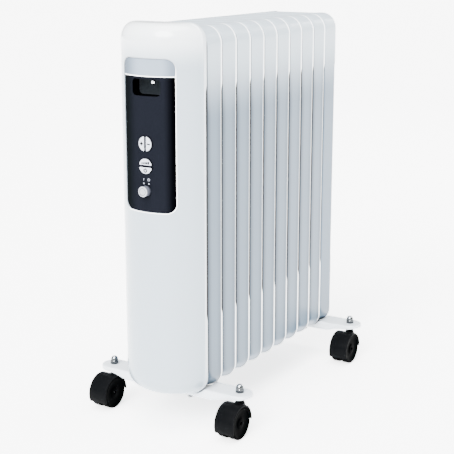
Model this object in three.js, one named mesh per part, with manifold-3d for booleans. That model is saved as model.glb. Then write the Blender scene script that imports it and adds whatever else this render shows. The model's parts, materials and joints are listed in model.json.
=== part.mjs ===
// Oil filled radiator heater on four twin-wheel casters, in millimetres.
// +Z is up, the control panel faces -Y, and the fins are stacked along +Y behind it.
// The origin is on the floor, in the middle of the heater's footprint.
import * as THREE from "three";
import { mergeVertices } from "three/addons/utils/BufferGeometryUtils.js";
import Module from "manifold-3d";

const wasm = await Module();
wasm.setup();

// ---- driving dimensions ----
const GAP = 0.3; // clearance between pieces that touch

const FIN_COUNT = 10;
const FIN_PITCH = 43;
const FIN_HALF_WIDTH = 75;
const FIN_BOTTOM = 60;
const FIN_TOP = 637;
const FIN_CORNER = 27;
const FIN_SHEET = 1.2;
const FIN_BEND = 5; // outer radius where the plate turns into its flange
const CHIMNEY_HALF_WIDTH = 46; // the flange is open over the plate's middle, top and bottom
const SLOT_BOTTOM = 190; // between these heights the flanges stand apart
const SLOT_TOP = 545;
const SLOT_WIDTH = 3;
const GALLERY_LOW = 106; // heights of the two oil galleries
const GALLERY_HIGH = 591;
const GALLERY_OUTER = 24;
const GALLERY_BORE = 22;
const PLUG_RADIUS = 6; // threaded part of the oil filler plug

const HOUSING_HALF_WIDTH = 75;
const HOUSING_BOTTOM = 62;
const HOUSING_TOP = 643;
const HOUSING_CORNER = 27;
const HOUSING_FRONT = -55.3; // foremost line of the bowed front
const HOUSING_BACK = -8; // rear edge of the front cover, where the bow reaches the full width
const HOUSING_WALL = 2.5;
const FRONT_ROUNDING = 0.75; // share of the corner radius by which the bow draws in

const PANEL_HALF_WIDTH = 46;
const PANEL_BOTTOM = 360;
const PANEL_TOP = 592;
const PANEL_CORNER = 14;
const PANEL_SINK = 0.4;
const PANEL_THICKNESS = 3;
const WINDOW_BOTTOM = 565;
const POCKET = { halfWidth: 25.5, low: 536.5, high: 562, floor: -31.5, wall: 1.6 };

const KEY_RADIUS = 12.5;
const KEY_SPLIT = 1.1; // half the bar between the two halves of a round key
const KEY_FACE = HOUSING_FRONT - 1.1;
const KEY_BACK = HOUSING_FRONT + 7.6;
const TEMPERATURE_KEYS_Z = 465;
const MODE_KEYS_Z = 431;
const MAIN_SWITCH = { z: 393, radius: 8, face: -65, back: -46, pin: 3, pinEnd: -34 };

const FOOT_Y = { front: 17, rear: 417 };
const FOOT_TOP = 69;
const FOOT_SHEET = 2;
const FOOT_HALF_WIDTH = 21;
const FOOT_REACH = 144; // tip of each arm, from the middle
const FOOT_SADDLE = FIN_BOTTOM - GAP; // top of the middle stretch, under the fins
const FOOT_SKIRT_BOTTOM = 54;

const CASTER_X = 123;
const WHEEL_RADIUS = 26.5;
const WHEEL_SIDES = 16;
const WHEEL_INNER = 3; // from the caster's middle plane to the wheel's inner face
const WHEEL_WIDTH = 13.6;
const CASTER_TRAIL = 20.5;
const HOOD_OUTER = 30;
const HOOD_INNER = 28;
const HOOD_HALF_WIDTH = 17.4;
const HOOD_FRONT_ANGLE = 203; // degrees from the rear, over the top, to the hood's front lip
const STUD_RADIUS = 4;

// ---- colours ----
const paint = { color: 0xdfe4ea, roughness: 0.3, metalness: 0.0 };
const casing = { color: 0xeef0f3, roughness: 0.22, metalness: 0.0 };
const black = { color: 0x17191c, roughness: 0.5, metalness: 0.0 };
const steel = { color: 0xc8ccd0, roughness: 0.2, metalness: 1.0 };
const LOOKS = {
  casing,
  paint,
  black,
  steel,
  panel: { color: 0x2a303a, roughness: 0.15, metalness: 0.0 },
  window: { color: 0xc5ced8, roughness: 0.12, metalness: 0.0 },
  key: { color: 0xe4e5ee, roughness: 0.35, metalness: 0.0 },
  board: { color: 0x2f6b45, roughness: 0.6, metalness: 0.0 },
  brass: { color: 0xb9975a, roughness: 0.35, metalness: 1.0 },
};

// ---- solids ----
const X = new THREE.Vector3(1, 0, 0);
const Y = new THREE.Vector3(0, 1, 0);
const Z = new THREE.Vector3(0, 0, 1);

// A geometry as a manifold-3d solid.
function solid(geometry) {
  const bare = geometry.clone();
  bare.deleteAttribute("normal");
  bare.deleteAttribute("uv");
  const merged = mergeVertices(bare, 1e-4);
  const vertProperties = new Float32Array(merged.attributes.position.array);
  const triVerts = new Uint32Array(merged.index.array);
  return new wasm.Manifold(new wasm.Mesh({ numProp: 3, vertProperties, triVerts }));
}

// A manifold-3d solid as a flat-shaded geometry.
function geometryOf(made) {
  const mesh = made.getMesh();
  const indexed = new THREE.BufferGeometry();
  indexed.setAttribute("position", new THREE.BufferAttribute(mesh.vertProperties, 3));
  indexed.setIndex(new THREE.BufferAttribute(mesh.triVerts, 1));
  const flat = indexed.toNonIndexed();
  flat.computeVertexNormals();
  return flat;
}

function join(...pieces) {
  return pieces.reduce((whole, piece) => whole.add(piece));
}

function cut(whole, ...pieces) {
  return pieces.reduce((rest, piece) => rest.subtract(piece), whole);
}

function box(x0, x1, y0, y1, z0, z1) {
  const geometry = new THREE.BoxGeometry(x1 - x0, y1 - y0, z1 - z0);
  return solid(geometry.translate((x0 + x1) / 2, (y0 + y1) / 2, (z0 + z1) / 2));
}

// A round bar between two places along an axis, centred on the other two coordinates.
function bar(axis, radius, from, to, centre, sides = 16, endRadius = radius) {
  const geometry = new THREE.CylinderGeometry(endRadius, radius, to - from, sides);
  if (axis === "x") geometry.rotateZ(-Math.PI / 2);
  if (axis === "z") geometry.rotateX(Math.PI / 2);
  const middle = (from + to) / 2;
  const places = { x: [middle, ...centre], y: [centre[0], middle, centre[1]], z: [...centre, middle] };
  return solid(geometry.translate(...places[axis]));
}

// Outlines drawn in a plane and extruded along its normal, between two places.
function extrude(shape, from, to, basis, options = {}) {
  const settings = { depth: to - from, bevelEnabled: false, curveSegments: 3, ...options };
  const geometry = new THREE.ExtrudeGeometry(shape, settings);
  geometry.translate(0, 0, from);
  return solid(geometry.applyMatrix4(new THREE.Matrix4().makeBasis(...basis)));
}

// Shape drawn in X and Z, reaching from front to back along Y.
function extrudeY(shape, front, back, options) {
  return extrude(shape, -back, -front, [X, Z, Y.clone().negate()], options);
}

// Shape drawn in Y and Z, reaching along X.
function extrudeX(shape, from, to, options) {
  return extrude(shape, from, to, [Y, Z, X], options);
}

function extrudeZ(shape, from, to, options) {
  return extrude(shape, from, to, [X, Y, Z], options);
}

function polygon(points) {
  return new THREE.Shape(points.map(([a, b]) => new THREE.Vector2(a, b)));
}

function roundedRect(x0, x1, z0, z1, radius) {
  const shape = new THREE.Shape();
  shape.moveTo(x0 + radius, z0);
  shape.lineTo(x1 - radius, z0);
  shape.absarc(x1 - radius, z0 + radius, radius, -Math.PI / 2, 0);
  shape.lineTo(x1, z1 - radius);
  shape.absarc(x1 - radius, z1 - radius, radius, 0, Math.PI / 2);
  shape.lineTo(x0 + radius, z1);
  shape.absarc(x0 + radius, z1 - radius, radius, Math.PI / 2, Math.PI);
  shape.lineTo(x0, z0 + radius);
  shape.absarc(x0 + radius, z0 + radius, radius, Math.PI, 1.5 * Math.PI);
  return shape;
}

// A closed solid through convex sections that all have the same number of points.
function loft(sections) {
  const count = sections[0].length;
  const points = sections.flat();
  const faces = [];
  for (let s = 0; s + 1 < sections.length; s++) {
    for (let k = 0; k < count; k++) {
      const a = s * count + k;
      const b = s * count + ((k + 1) % count);
      faces.push(a, b, b + count, a, b + count, a + count);
    }
  }
  const last = (sections.length - 1) * count;
  for (let k = 1; k + 1 < count; k++) {
    faces.push(0, k + 1, k, last, last + k, last + k + 1);
  }
  const geometry = new THREE.BufferGeometry();
  geometry.setAttribute("position", new THREE.Float32BufferAttribute(points.flat(), 3));
  geometry.setIndex(faces);
  return solid(geometry);
}

// ---- the assembly ----
const heater = new THREE.Group();

// Adds one named piece. Its finish is one of LOOKS.
function add(name, look, made, group = heater) {
  const mesh = new THREE.Mesh(geometryOf(made), new THREE.MeshStandardMaterial(LOOKS[look]));
  mesh.name = name;
  group.add(mesh);
}

// ---- fins: one pressed pan each, open to the rear, with its stretch of both galleries ----
function finOutline(inset) {
  const w = FIN_HALF_WIDTH - inset;
  return roundedRect(-w, w, FIN_BOTTOM + inset, FIN_TOP - inset, FIN_CORNER - inset);
}

function pressedPan(outlineAt, front, back) {
  const deep = back - front + FIN_BEND;
  const bend = (radius, bevelSegments) => ({
    bevelEnabled: true,
    bevelSegments,
    bevelSize: radius,
    bevelThickness: radius,
    bevelOffset: -radius,
    curveSegments: 3,
  });
  const start = front + FIN_BEND;
  const outer = extrudeY(outlineAt(0), start, front + deep, bend(FIN_BEND, 2));
  const innerBend = bend(FIN_BEND - FIN_SHEET, 1);
  const inner = extrudeY(outlineAt(FIN_SHEET), start, front + deep + FIN_BEND, innerBend);
  const wide = FIN_HALF_WIDTH + 5;
  const behind = box(-wide, wide, back, back + 3 * FIN_PITCH, 0, HOUSING_TOP + 5);
  return cut(outer, inner, behind);
}

// The notch that leaves a slot between this pan's flange and the next pan, tapered at both ends.
function flangeNotch(back) {
  const taper = 8;
  const lip = [
    [back + 1, SLOT_BOTTOM],
    [back + 1, SLOT_TOP],
    [back - SLOT_WIDTH, SLOT_TOP - taper],
    [back - SLOT_WIDTH, SLOT_BOTTOM + taper],
  ];
  return extrudeX(polygon(lip.reverse()), -FIN_HALF_WIDTH - 5, FIN_HALF_WIDTH + 5);
}

function chimneyCut(front, back, low, high) {
  return box(-CHIMNEY_HALF_WIDTH, CHIMNEY_HALF_WIDTH, front, back, low, high);
}

function fin(index) {
  const front = index * FIN_PITCH + GAP;
  const back = (index + 1) * FIN_PITCH - GAP;
  const last = index === FIN_COUNT - 1;
  const clearOfBend = front + FIN_BEND;
  let made = cut(
    pressedPan(finOutline, front, back),
    flangeNotch(back),
    chimneyCut(clearOfBend, back + 5, FIN_BOTTOM - 5, FIN_BOTTOM + FIN_SHEET + 2),
    chimneyCut(clearOfBend, back + 5, FIN_TOP - FIN_SHEET - 2, FIN_TOP + 5),
  );
  // Pressed oil ducts run up the plate between the galleries.
  const ductDepth = 4;
  for (const x of [-44, 0, 44]) {
    const ductBack = front + FIN_SHEET + ductDepth;
    made = made.add(box(x - 7, x + 7, front + 0.5, ductBack, GALLERY_LOW + 12, GALLERY_HIGH - 12));
  }
  for (const z of [GALLERY_LOW, GALLERY_HIGH]) {
    const stub = z === GALLERY_LOW ? back - 4 : front + 8;
    const hubEnd = last ? stub : back;
    made = made.add(bar("y", GALLERY_OUTER, front + 0.5, hubEnd, [0, z], 10));
    const closedFront = index === 0 && z === GALLERY_HIGH;
    const boreStart = closedFront ? front + 3 : front - 1;
    const boreEnd = last ? stub - 3 : back + 1;
    made = made.subtract(bar("y", GALLERY_BORE, boreStart, boreEnd, [0, z], 10));
  }
  if (last) {
    made = made.subtract(bar("y", PLUG_RADIUS + GAP, front, back, [0, GALLERY_HIGH], 12));
  }
  return made;
}

for (let i = 0; i < FIN_COUNT; i++) {
  add(`fin_${String(i + 1).padStart(2, "0")}`, "paint", fin(i));
}

// Screwed plug that closes the oil filling port in the last fin.
function fillerPlug() {
  const plate = (FIN_COUNT - 1) * FIN_PITCH + GAP + 8;
  const head = bar("y", 9.8, plate + GAP, plate + GAP + 6, [0, GALLERY_HIGH], 6);
  const thread = bar("y", PLUG_RADIUS, plate - 6, plate + GAP + 1, [0, GALLERY_HIGH], 12);
  return join(head, thread);
}
add("filler_plug", "brass", fillerPlug());

// Heater flange with two hairpin elements, which lie in the lower gallery's oil.
function immersionHeater() {
  const flangeFront = -4.8;
  const reach = 300;
  const z = GALLERY_LOW;
  let made = join(
    bar("y", 27, flangeFront, -GAP, [0, z], 20),
    bar("y", 14, flangeFront - 4, flangeFront + 1, [0, z], 6),
  );
  for (const side of [-1, 1]) {
    for (const level of [-7, 7]) {
      made = made.add(bar("y", 4, -1, reach, [side * 7.5, z + level], 6));
      made = made.add(bar("y", 2, flangeFront - 12, flangeFront, [side * 7.5, z + level], 6));
    }
    made = made.add(bar("z", 4, z - 7, z + 7, [side * 7.5, reach - 4], 6));
  }
  return made;
}
add("immersion_heater", "brass", immersionHeater());

// ---- housing ----
// The front is a circular arc in plan: this is half of its angle.
const bowAngle = 2 * Math.atan((HOUSING_BACK - HOUSING_FRONT) / HOUSING_HALF_WIDTH);

// A D-shaped level of the housing, drawn in by inset all round and carried straight back.
function housingLevel(z, inset, back) {
  const corner = HOUSING_CORNER - inset;
  const rise = Math.min(z - HOUSING_BOTTOM - inset, HOUSING_TOP - inset - z, corner);
  const drawIn = corner - Math.sqrt(corner ** 2 - (corner - rise) ** 2);
  const halfWidth = HOUSING_HALF_WIDTH - inset - drawIn;
  const depth = HOUSING_BACK - HOUSING_FRONT - inset - FRONT_ROUNDING * drawIn;
  const steps = 16;
  const arc = [];
  for (let k = 0; k <= steps; k++) {
    const angle = bowAngle * ((2 * k) / steps - 1);
    const across = Math.sin(angle) / Math.sin(bowAngle);
    const bow = (Math.cos(angle) - Math.cos(bowAngle)) / (1 - Math.cos(bowAngle));
    arc.push([halfWidth * across, HOUSING_BACK - depth * bow, z]);
  }
  if (back === HOUSING_BACK) return arc;
  return [[-halfWidth, back, z], ...arc, [halfWidth, back, z]];
}

function housingBlock(inset, back) {
  const corner = HOUSING_CORNER - inset;
  const low = HOUSING_BOTTOM + inset;
  const high = HOUSING_TOP - inset;
  const steps = 3;
  const rises = [];
  for (let k = 0; k <= steps; k++) {
    rises.push(corner * (1 - Math.cos((Math.PI / 2) * (k / steps))));
  }
  const levels = [...rises.map((r) => low + r), ...rises.map((r) => high - r).reverse()];
  return loft(levels.map((z) => housingLevel(z, inset, back)));
}

function panelPrism(low, high, shrink) {
  const w = PANEL_HALF_WIDTH - shrink;
  const outline = roundedRect(-w, w, PANEL_BOTTOM + shrink, PANEL_TOP - shrink, PANEL_CORNER - shrink);
  const slab = box(-w - 5, w + 5, HOUSING_FRONT - 10, HOUSING_FRONT + 25, low, high);
  return extrudeY(outline, HOUSING_FRONT - 10, HOUSING_FRONT + 25).intersect(slab);
}

const GLAND = { x: -18, y: -17.5, bore: 3.6, neck: 5.5, head: 7.5 };

function frontCover() {
  return cut(
    housingBlock(0, HOUSING_BACK),
    housingBlock(HOUSING_WALL, HOUSING_BACK + 4),
    panelPrism(PANEL_BOTTOM - 5, PANEL_TOP + 5, 0),
    bar("z", GLAND.neck + GAP, HOUSING_BOTTOM - 5, HOUSING_BOTTOM + 8, [GLAND.x, GLAND.y], 12),
  );
}
add("front_cover", "casing", frontCover());

// Strain relief bush in the housing's floor, with the hole that the mains lead passes through.
function cordGland() {
  const at = [GLAND.x, GLAND.y];
  const body = join(
    bar("z", GLAND.head, HOUSING_BOTTOM - GAP - 4, HOUSING_BOTTOM - GAP, at, 12),
    bar("z", GLAND.neck, HOUSING_BOTTOM - GAP - 1, HOUSING_BOTTOM + 9, at, 12),
  );
  return cut(body, bar("z", GLAND.bore, HOUSING_BOTTOM - 10, HOUSING_BOTTOM + 15, at, 12));
}
add("cord_gland", "black", cordGland());

// Pressed steel back of the housing, shaped like a shallow fin, with a port for the heater's head.
function rearCover() {
  const front = HOUSING_BACK + GAP;
  const back = -GAP;
  const outline = (inset) => {
    const w = HOUSING_HALF_WIDTH - inset;
    return roundedRect(-w, w, HOUSING_BOTTOM + inset, HOUSING_TOP - inset, HOUSING_CORNER - inset);
  };
  const sheet = FIN_SHEET;
  const tray = cut(
    extrudeY(outline(0), front, back),
    extrudeY(outline(sheet), front + sheet, back + 5),
  );
  const port = bar("y", 30, front - 5, back + 5, [0, GALLERY_LOW], 20);
  return cut(tray, flangeNotch(back), port, chimneyCut(front + sheet, 5, HOUSING_TOP - 5, HOUSING_TOP + 5));
}
add("rear_cover", "paint", rearCover());

// ---- control panel ----
const curvedSkin = cut(
  housingBlock(PANEL_SINK, HOUSING_BACK),
  housingBlock(PANEL_SINK + PANEL_THICKNESS, HOUSING_BACK + 4),
);

function displayWindow() {
  return curvedSkin.intersect(panelPrism(WINDOW_BOTTOM + GAP, PANEL_TOP + 5, GAP));
}
add("display_window", "window", displayWindow());

// Half of a round key. turn 0 is the upper half, and it goes anticlockwise seen from the front.
function halfKey(turn, grow) {
  const radius = KEY_RADIUS + grow;
  const chord = KEY_SPLIT - grow;
  const start = Math.asin(chord / radius);
  const shape = new THREE.Shape();
  shape.absarc(0, 0, radius, start, Math.PI - start);
  const steps = 12;
  const points = shape.getPoints(steps).map((p) => p.rotateAround(new THREE.Vector2(), turn));
  return new THREE.Shape(points);
}

const KEYS = [
  { name: "plus_key", z: TEMPERATURE_KEYS_Z, turn: Math.PI / 2 },
  { name: "minus_key", z: TEMPERATURE_KEYS_Z, turn: -Math.PI / 2 },
  { name: "mode_key", z: MODE_KEYS_Z, turn: 0 },
  { name: "power_key", z: MODE_KEYS_Z, turn: Math.PI },
];

function keySolid(key, grow, front, back) {
  return extrudeY(halfKey(key.turn, grow), front, back).translate([0, 0, key.z]);
}

const PANEL_SCREW = { z: 556.5, head: 4, shank: 1.6 };

function controlPanel() {
  const p = POCKET;
  const outerPocket = box(
    -p.halfWidth - p.wall,
    p.halfWidth + p.wall,
    HOUSING_FRONT - 5,
    p.floor + p.wall,
    p.low - p.wall,
    p.high + p.wall,
  ).intersect(housingBlock(PANEL_SINK + 1, HOUSING_BACK));
  const innerPocket = box(-p.halfWidth, p.halfWidth, HOUSING_FRONT - 8, p.floor, p.low, p.high);
  const plate = curvedSkin.intersect(panelPrism(PANEL_BOTTOM - 5, WINDOW_BOTTOM, GAP));
  let made = cut(
    join(plate, outerPocket),
    innerPocket,
    bar("y", MAIN_SWITCH.radius + 0.6, -70, -35, [0, MAIN_SWITCH.z]),
    bar("y", PANEL_SCREW.shank + GAP, p.floor - 5, p.floor + 10, [0, PANEL_SCREW.z], 8),
  );
  for (const key of KEYS) made = made.subtract(keySolid(key, 0.4, -70, -35));
  return made;
}
add("control_panel", "panel", controlPanel());

for (const key of KEYS) add(key.name, "key", keySolid(key, 0, KEY_FACE, KEY_BACK));

function panelScrew() {
  const { z, head, shank } = PANEL_SCREW;
  const seat = POCKET.floor - GAP;
  const face = seat - 2.6;
  const cross = [
    box(-2.2, 2.2, face - 1, face + 1.4, z - 0.5, z + 0.5),
    box(-0.5, 0.5, face - 1, face + 1.4, z - 2.2, z + 2.2),
  ];
  const pan = bar("y", head - 1.2, face, seat, [0, z], 16, head);
  return cut(join(pan, bar("y", shank, seat - 0.5, seat + 9, [0, z], 8)), ...cross);
}
add("panel_screw", "steel", panelScrew());

// Push-push mains switch: the button and, behind it, the switch that its pin works.
function mainSwitchButton() {
  const s = MAIN_SWITCH;
  const cap = join(
    bar("y", s.radius, s.face + 0.8, s.back, [0, s.z], 20),
    bar("y", s.radius - 0.8, s.face, s.face + 1, [0, s.z], 20, s.radius),
  );
  return join(cap, bar("y", s.pin, s.back - 1, s.pinEnd, [0, s.z], 10));
}
add("main_switch_button", "key", mainSwitchButton());

function mainSwitchBody() {
  const s = MAIN_SWITCH;
  const front = s.back + 4.6;
  const block = box(-10, 10, front, front + 18, s.z - 8, s.z + 8);
  const terminals = [-5, 5].map((x) => box(x - 0.4, x + 0.4, front + 17, front + 24, s.z - 3, s.z + 3));
  const pinHole = bar("y", s.pin + GAP, front - 1, s.pinEnd + 4.6, [0, s.z], 10);
  return cut(join(block, ...terminals), pinHole);
}
add("main_switch_body", "black", mainSwitchBody());

// ---- electrical parts inside the housing ----
function controlBoard() {
  const face = -43;
  const board = box(-32, 32, face, face + 1.6, 412, 530);
  const switchTop = KEY_BACK + 1.2;
  const touch = [
    [-6.5, TEMPERATURE_KEYS_Z],
    [6.5, TEMPERATURE_KEYS_Z],
    [0, MODE_KEYS_Z + 6.5],
    [0, MODE_KEYS_Z - 6.5],
  ];
  const switches = touch.map(([x, z]) => box(x - 3, x + 3, switchTop, face + 0.5, z - 3, z + 3));
  const chip = box(-9, 9, face + 1, face + 4, 488, 506);
  return join(board, chip, ...switches);
}
add("control_board", "board", controlBoard());

function displayModule() {
  const back = -41;
  const glass = box(-26, 26, back - 6, back, 568, 588);
  return join(glass, box(-28, 28, back - 0.5, back + 1.6, 566, 590));
}
add("display_module", "black", displayModule());

function powerBoard() {
  const face = -24;
  const board = box(-38, 38, face, face + 1.6, 230, 340);
  const relays = [252, 282].map((z) => box(-30, -8, face - 15, face + 0.5, z - 10, z + 10));
  const transformer = box(4, 32, face - 20, face + 0.5, 290, 322);
  const capacitor = bar("y", 6, face - 16, face + 0.5, [16, 262], 12);
  return join(board, ...relays, transformer, capacitor);
}
add("power_board", "board", powerBoard());

function tipOverSwitch() {
  return join(box(12, 40, -40, -20, 150, 186), box(6, 46, -22, -20, 160, 176));
}
add("tip_over_switch", "black", tipOverSwitch());

function thermalCutout() {
  const seat = HOUSING_BACK - GAP;
  const at = [20, 480];
  const body = bar("y", 9, seat - 8, seat, at, 16);
  const bracket = box(at[0] - 14, at[0] + 14, seat - 1, seat, at[1] - 4, at[1] + 4);
  const tabs = [-4, 4].map((x) => box(at[0] + x - 0.5, at[0] + x + 0.5, seat - 15, seat - 7, 477, 483));
  return join(body, bracket, ...tabs);
}
add("thermal_cutout", "steel", thermalCutout());

// ---- feet ----
// Top line of a foot's right half, in X and Z: it hugs the fins' rounded corner up to the flat arm.
function footTopLine() {
  const centreX = FIN_HALF_WIDTH - FIN_CORNER;
  const centreZ = FIN_BOTTOM + FIN_CORNER;
  const radius = FIN_CORNER + GAP;
  const lastAngle = Math.acos((centreZ - FOOT_TOP) / radius);
  const steps = 4;
  const line = [];
  for (let k = 0; k <= steps; k++) {
    const angle = (lastAngle * k) / steps;
    line.push([centreX + radius * Math.sin(angle), centreZ - radius * Math.cos(angle)]);
  }
  return [...line, [FOOT_REACH, FOOT_TOP]];
}

// A foot's side outline between its top line and the given lower line, mirrored to both arms.
function footOutline(underside) {
  const right = [...footTopLine(), ...underside];
  const left = right.map(([x, z]) => [-x, z]).reverse();
  return polygon([...left, ...right].reverse());
}

// The pressed sheet: a saddle under the fins that rises to both arms.
const footSheetOutline = footOutline([
  [FOOT_REACH, FOOT_TOP - FOOT_SHEET],
  [FIN_HALF_WIDTH - 3, FOOT_TOP - FOOT_SHEET],
  [FIN_HALF_WIDTH - FIN_CORNER, FOOT_SADDLE - FOOT_SHEET],
]);

// The turned-down skirt: deepest beside the fins and shallow at the tips.
const footSkirtOutline = footOutline([
  [FOOT_REACH, FOOT_TOP - 5],
  [CASTER_X - 12, FOOT_SKIRT_BOTTOM + 7],
  [84, FOOT_SKIRT_BOTTOM],
]);

function footPlan(shrink) {
  const r = FOOT_HALF_WIDTH - shrink;
  const end = FOOT_REACH - FOOT_HALF_WIDTH;
  const shape = new THREE.Shape();
  shape.moveTo(-end, -r);
  shape.lineTo(end, -r);
  shape.absarc(end, 0, r, -Math.PI / 2, Math.PI / 2);
  shape.lineTo(-end, r);
  shape.absarc(-end, 0, r, Math.PI / 2, 1.5 * Math.PI);
  return shape;
}

const HOOK = { rod: 3, x: GALLERY_OUTER + 3.6, bottom: 40, offset: 4 };

function foot() {
  const w = FOOT_HALF_WIDTH;
  const sheet = extrudeY(footSheetOutline, -w, w);
  const plan = (shrink) => extrudeZ(footPlan(shrink), 30, 90);
  const skirtBand = plan(0).subtract(plan(FOOT_SHEET));
  const skirt = extrudeY(footSkirtOutline, -w, w).intersect(skirtBand);
  const holes = [
    bar("z", STUD_RADIUS + GAP, 40, 90, [-CASTER_X, 0], 12),
    bar("z", STUD_RADIUS + GAP, 40, 90, [CASTER_X, 0], 12),
    box(HOOK.x - 3.5, HOOK.x + 3.5, HOOK.offset - 3.5, HOOK.offset + 3.5, 40, 90),
  ];
  return cut(join(sheet.intersect(plan(0)), skirt), ...holes);
}

// Hook bolt that holds a foot up to the fins: over the lower gallery and down through the foot.
function hookBolt() {
  const hook = new THREE.Shape();
  const { rod, x, bottom } = HOOK;
  hook.absarc(0, GALLERY_LOW, x + rod, 0, Math.PI);
  hook.lineTo(-x - rod, GALLERY_LOW - 8);
  hook.lineTo(-x + rod, GALLERY_LOW - 8);
  hook.absarc(0, GALLERY_LOW, x - rod, Math.PI, 0, true);
  hook.lineTo(x - rod, bottom);
  hook.lineTo(x + rod, bottom);
  return extrudeY(hook, -rod, rod, { curveSegments: 8 });
}

function wingNut() {
  const x = HOOK.x;
  const top = FOOT_SADDLE - FOOT_SHEET - GAP;
  const hub = bar("z", 6, top - 8, top, [x, 0], 10, 7);
  const wings = box(x - 16, x + 16, -1.2, 1.2, top - 9, top - 1);
  const outline = roundedRect(x - 15, x + 15, top - 11, top - 1.5, 3);
  const trimmed = wings.intersect(extrudeY(outline, -2, 2));
  const clear = HOOK.rod + GAP;
  const bore = box(x - clear, x + clear, -clear, clear, 20, 80);
  return cut(join(hub, trimmed), bore);
}

for (const [place, y] of Object.entries(FOOT_Y)) {
  const group = new THREE.Group();
  group.position.y = y;
  heater.add(group);
  add(`${place}_foot`, "paint", foot(), group);
  add(`${place}_hook_bolt`, "steel", hookBolt().translate([0, HOOK.offset, 0]), group);
  add(`${place}_wing_nut`, "steel", wingNut().translate([0, HOOK.offset, 0]), group);
}

// ---- casters, each around its own stud axis at x = 0, y = 0 ----
const AXLE_Y = -CASTER_TRAIL;
const AXLE_Z = WHEEL_RADIUS;
const HOOD_TOP = 64.6;

function hoodSector(outer, inner) {
  const steps = 10;
  const last = THREE.MathUtils.degToRad(HOOD_FRONT_ANGLE);
  const arc = (radius) => {
    const points = [];
    for (let k = 0; k <= steps; k++) {
      const angle = (last * k) / steps;
      points.push([AXLE_Y + radius * Math.cos(angle), AXLE_Z + radius * Math.sin(angle)]);
    }
    return points;
  };
  const inside = inner > 0 ? arc(inner).reverse() : [[AXLE_Y, AXLE_Z]];
  return polygon([...arc(outer), ...inside]);
}

function casterHood() {
  const w = HOOD_HALF_WIDTH;
  const webHalf = WHEEL_INNER - 0.7;
  const fender = extrudeX(hoodSector(HOOD_OUTER, HOOD_INNER), -w, w);
  const web = extrudeX(hoodSector(HOOD_INNER + 1, 0), -webHalf, webHalf);
  const axleBoss = bar("x", 7, -webHalf, webHalf, [AXLE_Y, AXLE_Z], 12);
  const wheelSpaces = [
    bar("x", HOOD_INNER, webHalf, w + 1, [AXLE_Y, AXLE_Z], 20),
    bar("x", HOOD_INNER, -w - 1, -webHalf, [AXLE_Y, AXLE_Z], 20),
  ];
  const neck = cut(bar("z", 9, 44, HOOD_TOP, [0, 0], 12, 6.2), ...wheelSpaces);
  const socket = bar("z", STUD_RADIUS + GAP, 49.6, HOOD_TOP + 5, [0, 0], 12);
  const axleHole = bar("x", AXLE_RADIUS + GAP, -10, 10, [AXLE_Y, AXLE_Z], 12);
  return cut(join(fender, web, axleBoss, neck), socket, axleHole);
}

const AXLE_RADIUS = 2.2;
const AXLE_HALF = WHEEL_INNER + 10;

function casterAxle() {
  return bar("x", AXLE_RADIUS, -AXLE_HALF, AXLE_HALF, [AXLE_Y, AXLE_Z], 10);
}

// One wheel, turned about its axle: flat tread, raised rim and dished outer face.
// A flat of its tread rests on the floor.
function casterWheel(side) {
  const w = WHEEL_WIDTH;
  const profile = [
    [0, 10.6],
    [AXLE_RADIUS + GAP, 10.6],
    [AXLE_RADIUS + GAP, 0],
    [WHEEL_RADIUS, 0],
    [WHEEL_RADIUS, w],
    [WHEEL_RADIUS - 4, w],
    [WHEEL_RADIUS - 5.5, w - 1.8],
    [0, w - 1.8],
  ];
  const toVertex = 1 / Math.cos(Math.PI / WHEEL_SIDES);
  const points = profile.map(([r, along]) => new THREE.Vector2(r > 5 ? r * toVertex : r, along));
  const geometry = new THREE.LatheGeometry(points, WHEEL_SIDES, Math.PI / WHEEL_SIDES);
  geometry.rotateZ(-Math.PI / 2);
  geometry.translate(WHEEL_INNER, AXLE_Y, AXLE_Z);
  const made = solid(geometry);
  return side > 0 ? made : made.mirror([1, 0, 0]);
}

// Threaded stud with a collar: the hood turns on it, and the acorn nut holds it to the foot.
function casterStud() {
  const under = FOOT_TOP - FOOT_SHEET - GAP;
  return join(
    bar("z", STUD_RADIUS, 50, FOOT_TOP + 11, [0, 0], 10),
    bar("z", 7, HOOD_TOP + GAP, under, [0, 0], 10),
  );
}

function acornNut() {
  const base = FOOT_TOP + GAP;
  const hex = bar("z", 7.5, base, base + 6.5, [0, 0], 6);
  const profile = [[0, 0], [6.1, 0], [6.1, 7.5]];
  const domeSteps = 3;
  for (let k = 1; k <= domeSteps; k++) {
    const angle = (Math.PI / 2) * (k / domeSteps);
    profile.push([k === domeSteps ? 0 : 6.1 * Math.cos(angle), 7.5 + 6.1 * Math.sin(angle)]);
  }
  const points = profile.map(([r, z]) => new THREE.Vector2(r, z));
  const dome = solid(new THREE.LatheGeometry(points, 10).rotateX(Math.PI / 2)).translate([0, 0, base]);
  const thread = bar("z", STUD_RADIUS + GAP, base - 1, FOOT_TOP + 11 + GAP, [0, 0], 12);
  return cut(join(hex, dome), thread);
}

for (const [place, y] of Object.entries(FOOT_Y)) {
  for (const [side, sign] of [["left", -1], ["right", 1]]) {
    const group = new THREE.Group();
    group.position.set(sign * CASTER_X, y, 0);
    heater.add(group);
    const name = `caster_${place}_${side}`;
    add(`${name}_stud`, "steel", casterStud(), group);
    add(`${name}_nut`, "steel", acornNut(), group);
    add(`${name}_hood`, "black", casterHood(), group);
    add(`${name}_axle`, "steel", casterAxle(), group);
    add(`${name}_wheel_left`, "black", casterWheel(-1), group);
    add(`${name}_wheel_right`, "black", casterWheel(1), group);
  }
}

// The footprint runs from the main switch's face to the rear foot's back edge.
const footprintFront = MAIN_SWITCH.face;
const footprintRear = FOOT_Y.rear + FOOT_HALF_WIDTH;
heater.position.y = -(footprintFront + footprintRear) / 2;
const radiator = new THREE.Group();
radiator.add(heater);

export default radiator;
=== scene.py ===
"""Looks of the oil filled radiator heater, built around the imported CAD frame."""

import json
import math

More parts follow.
